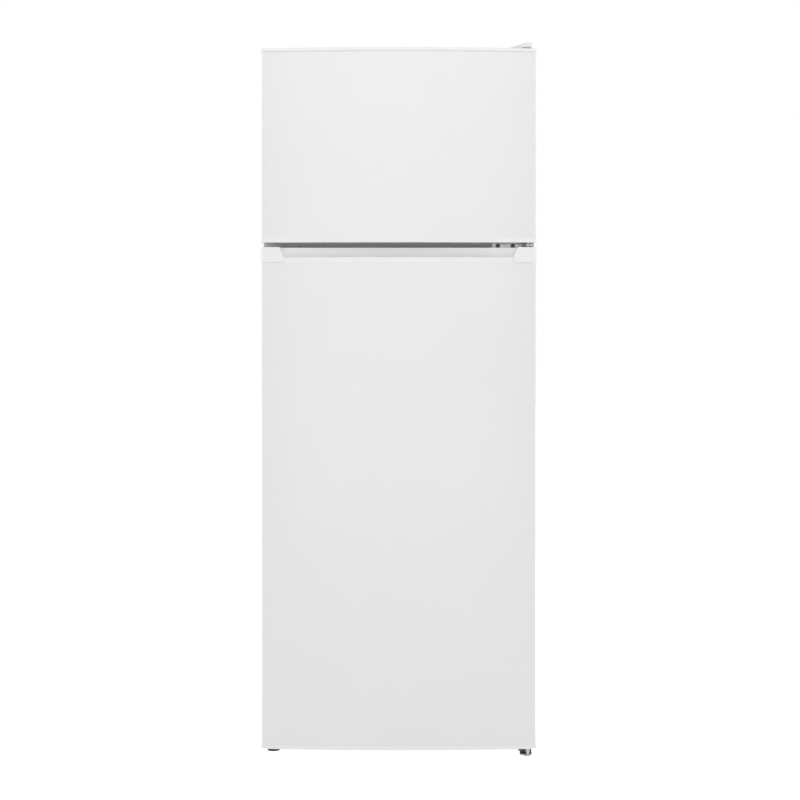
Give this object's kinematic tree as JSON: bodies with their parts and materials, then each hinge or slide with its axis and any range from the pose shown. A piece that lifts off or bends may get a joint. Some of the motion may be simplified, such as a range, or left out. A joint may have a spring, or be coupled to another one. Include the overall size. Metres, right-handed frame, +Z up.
{
  "type": "top freezer refrigerator",
  "caption": "Free-standing refrigerator with a freezer compartment above, two bowed hinged doors, a recessed handle, glass shelves, a crisper drawer and a wire condenser behind.",
  "frame": {"origin": "on the floor, in the middle of the footprint", "axes": "+Z up; -Y out of the front, where the doors are; +X to the right of someone who faces the doors"},
  "size_m": [0.55, 0.5419, 1.434],
  "materials": {
    "painted_steel": "gloss",
    "cabinet_steel": "satin",
    "cap_plastic": "satin",
    "liner_plastic": "gloss",
    "bin_plastic": "gloss",
    "crisper_plastic": "gloss",
    "control_plastic": "satin",
    "knob_plastic": "satin",
    "foam": "matte",
    "gasket": "matte",
    "zinc_steel": "satin",
    "grey_rail": "satin",
    "black_paint": "satin",
    "black_plastic": "matte",
    "black_rubber": "matte",
    "compressor_paint": "satin",
    "copper": "satin",
    "aluminium_tube": "satin",
    "shelf_glass": "gloss",
    "lamp_lens": "gloss",
    "pale_plastic": "satin"
  },
  "bodies": {
    "cabinet": {"left_side_panel": "cabinet_steel", "right_side_panel": "cabinet_steel", "top_panel": "cabinet_steel", "rear_panel": "grey_rail", "base_pan": "zinc_steel", "cabinet_foam": "foam", "freezer_liner": "liner_plastic", "fridge_liner": "liner_plastic", "centre_rail": "grey_rail", "front_base_rail": "grey_rail", "compressor_base": "zinc_steel", "compressor": "compressor_paint", "compressor_grommets": "black_rubber", "terminal_cover": "black_plastic", "cord_gland": "black_plastic", "drip_tray": "black_plastic", "filter_drier": "copper", "suction_line": "copper", "condenser_tube": "black_paint", "condenser_wires": "black_paint", "condenser_brackets": "black_plastic", "freezer_evaporator": "aluminium_tube", "fridge_evaporator": "aluminium_tube", "top_hinge_bracket": "zinc_steel", "top_hinge_cover": "cap_plastic", "middle_hinge_bracket": "zinc_steel", "bottom_hinge_bracket": "zinc_steel", "hinge_screws": "zinc_steel", "hinge_hole_plugs": "pale_plastic", "roller_forks": "zinc_steel", "control_housing": "control_plastic", "thermostat": "black_plastic", "lamp_cover": "lamp_lens", "glass_shelves": "shelf_glass", "shelf_trims": "bin_plastic", "crisper_cover": "shelf_glass", "freezer_shelf": "bin_plastic"},
    "freezer_door": {"freezer_door_skin": "painted_steel", "freezer_door_top_cap": "cap_plastic", "freezer_door_bottom_cap": "cap_plastic", "freezer_door_foam": "foam", "freezer_door_liner": "liner_plastic", "freezer_door_gasket": "gasket", "freezer_door_bins": "bin_plastic"},
    "fridge_door": {"fridge_door_skin": "painted_steel", "handle_cap": "cap_plastic", "fridge_door_bottom_cap": "cap_plastic", "fridge_door_foam": "foam", "fridge_door_liner": "liner_plastic", "fridge_door_gasket": "gasket", "fridge_door_bins": "bin_plastic", "fridge_bottle_bin": "bin_plastic"},
    "crisper": {"crisper_drawer": "crisper_plastic"},
    "knob": {"thermostat_knob": "knob_plastic"},
    "switch_plunger": {"door_switch_plunger": "pale_plastic"},
    "left_foot": {"front_left_foot": "black_plastic"},
    "right_foot": {"front_right_foot": "black_plastic"},
    "left_roller": {"rear_left_roller": "black_rubber"},
    "right_roller": {"rear_right_roller": "black_rubber"}
  },
  "joints": [
    {"name": "freezer_door_hinge", "type": "hinge", "parent": "cabinet", "child": "freezer_door", "pos_m": [0.258, -0.232, 1.226], "axis": [0, 0, 1], "range_deg": [0, 135]},
    {"name": "fridge_door_hinge", "type": "hinge", "parent": "cabinet", "child": "fridge_door", "pos_m": [0.258, -0.232, 0.523], "axis": [0, 0, 1], "range_deg": [0, 135]},
    {"name": "crisper_slide", "type": "slide", "parent": "cabinet", "child": "crisper", "axis": [0, -1, 0], "range_m": [0, 0.2]},
    {"name": "door_switch_press", "type": "slide", "parent": "cabinet", "child": "switch_plunger", "axis": [0, -1, 0], "range_m": [0, 0.004]},
    {"name": "thermostat_turn", "type": "hinge", "parent": "cabinet", "child": "knob", "pos_m": [-0.0475, -0.156, 0.971], "axis": [0, -1, 0], "range_deg": [0, 270]},
    {"name": "left_foot_screw", "type": "hinge", "parent": "cabinet", "child": "left_foot", "pos_m": [-0.256, -0.135, 0.02], "axis": [0, 0, 1], "range_deg": [0, 1080]},
    {"name": "right_foot_screw", "type": "hinge", "parent": "cabinet", "child": "right_foot", "pos_m": [0.256, -0.135, 0.02], "axis": [0, 0, 1], "range_deg": [0, 1080]},
    {"name": "left_roller_spin", "type": "hinge", "parent": "cabinet", "child": "left_roller", "pos_m": [-0.2275, 0.205, 0.013], "axis": [1, 0, 0], "continuous": true},
    {"name": "right_roller_spin", "type": "hinge", "parent": "cabinet", "child": "right_roller", "pos_m": [0.2275, 0.205, 0.013], "axis": [1, 0, 0], "continuous": true}
  ],
  "couplings": [
    {"joint": "crisper_slide", "follows": "fridge_door_hinge", "m_per_rad": 0.0848},
    {"joint": "door_switch_press", "follows": "fridge_door_hinge", "m_per_rad": 0.0016}
  ]
}
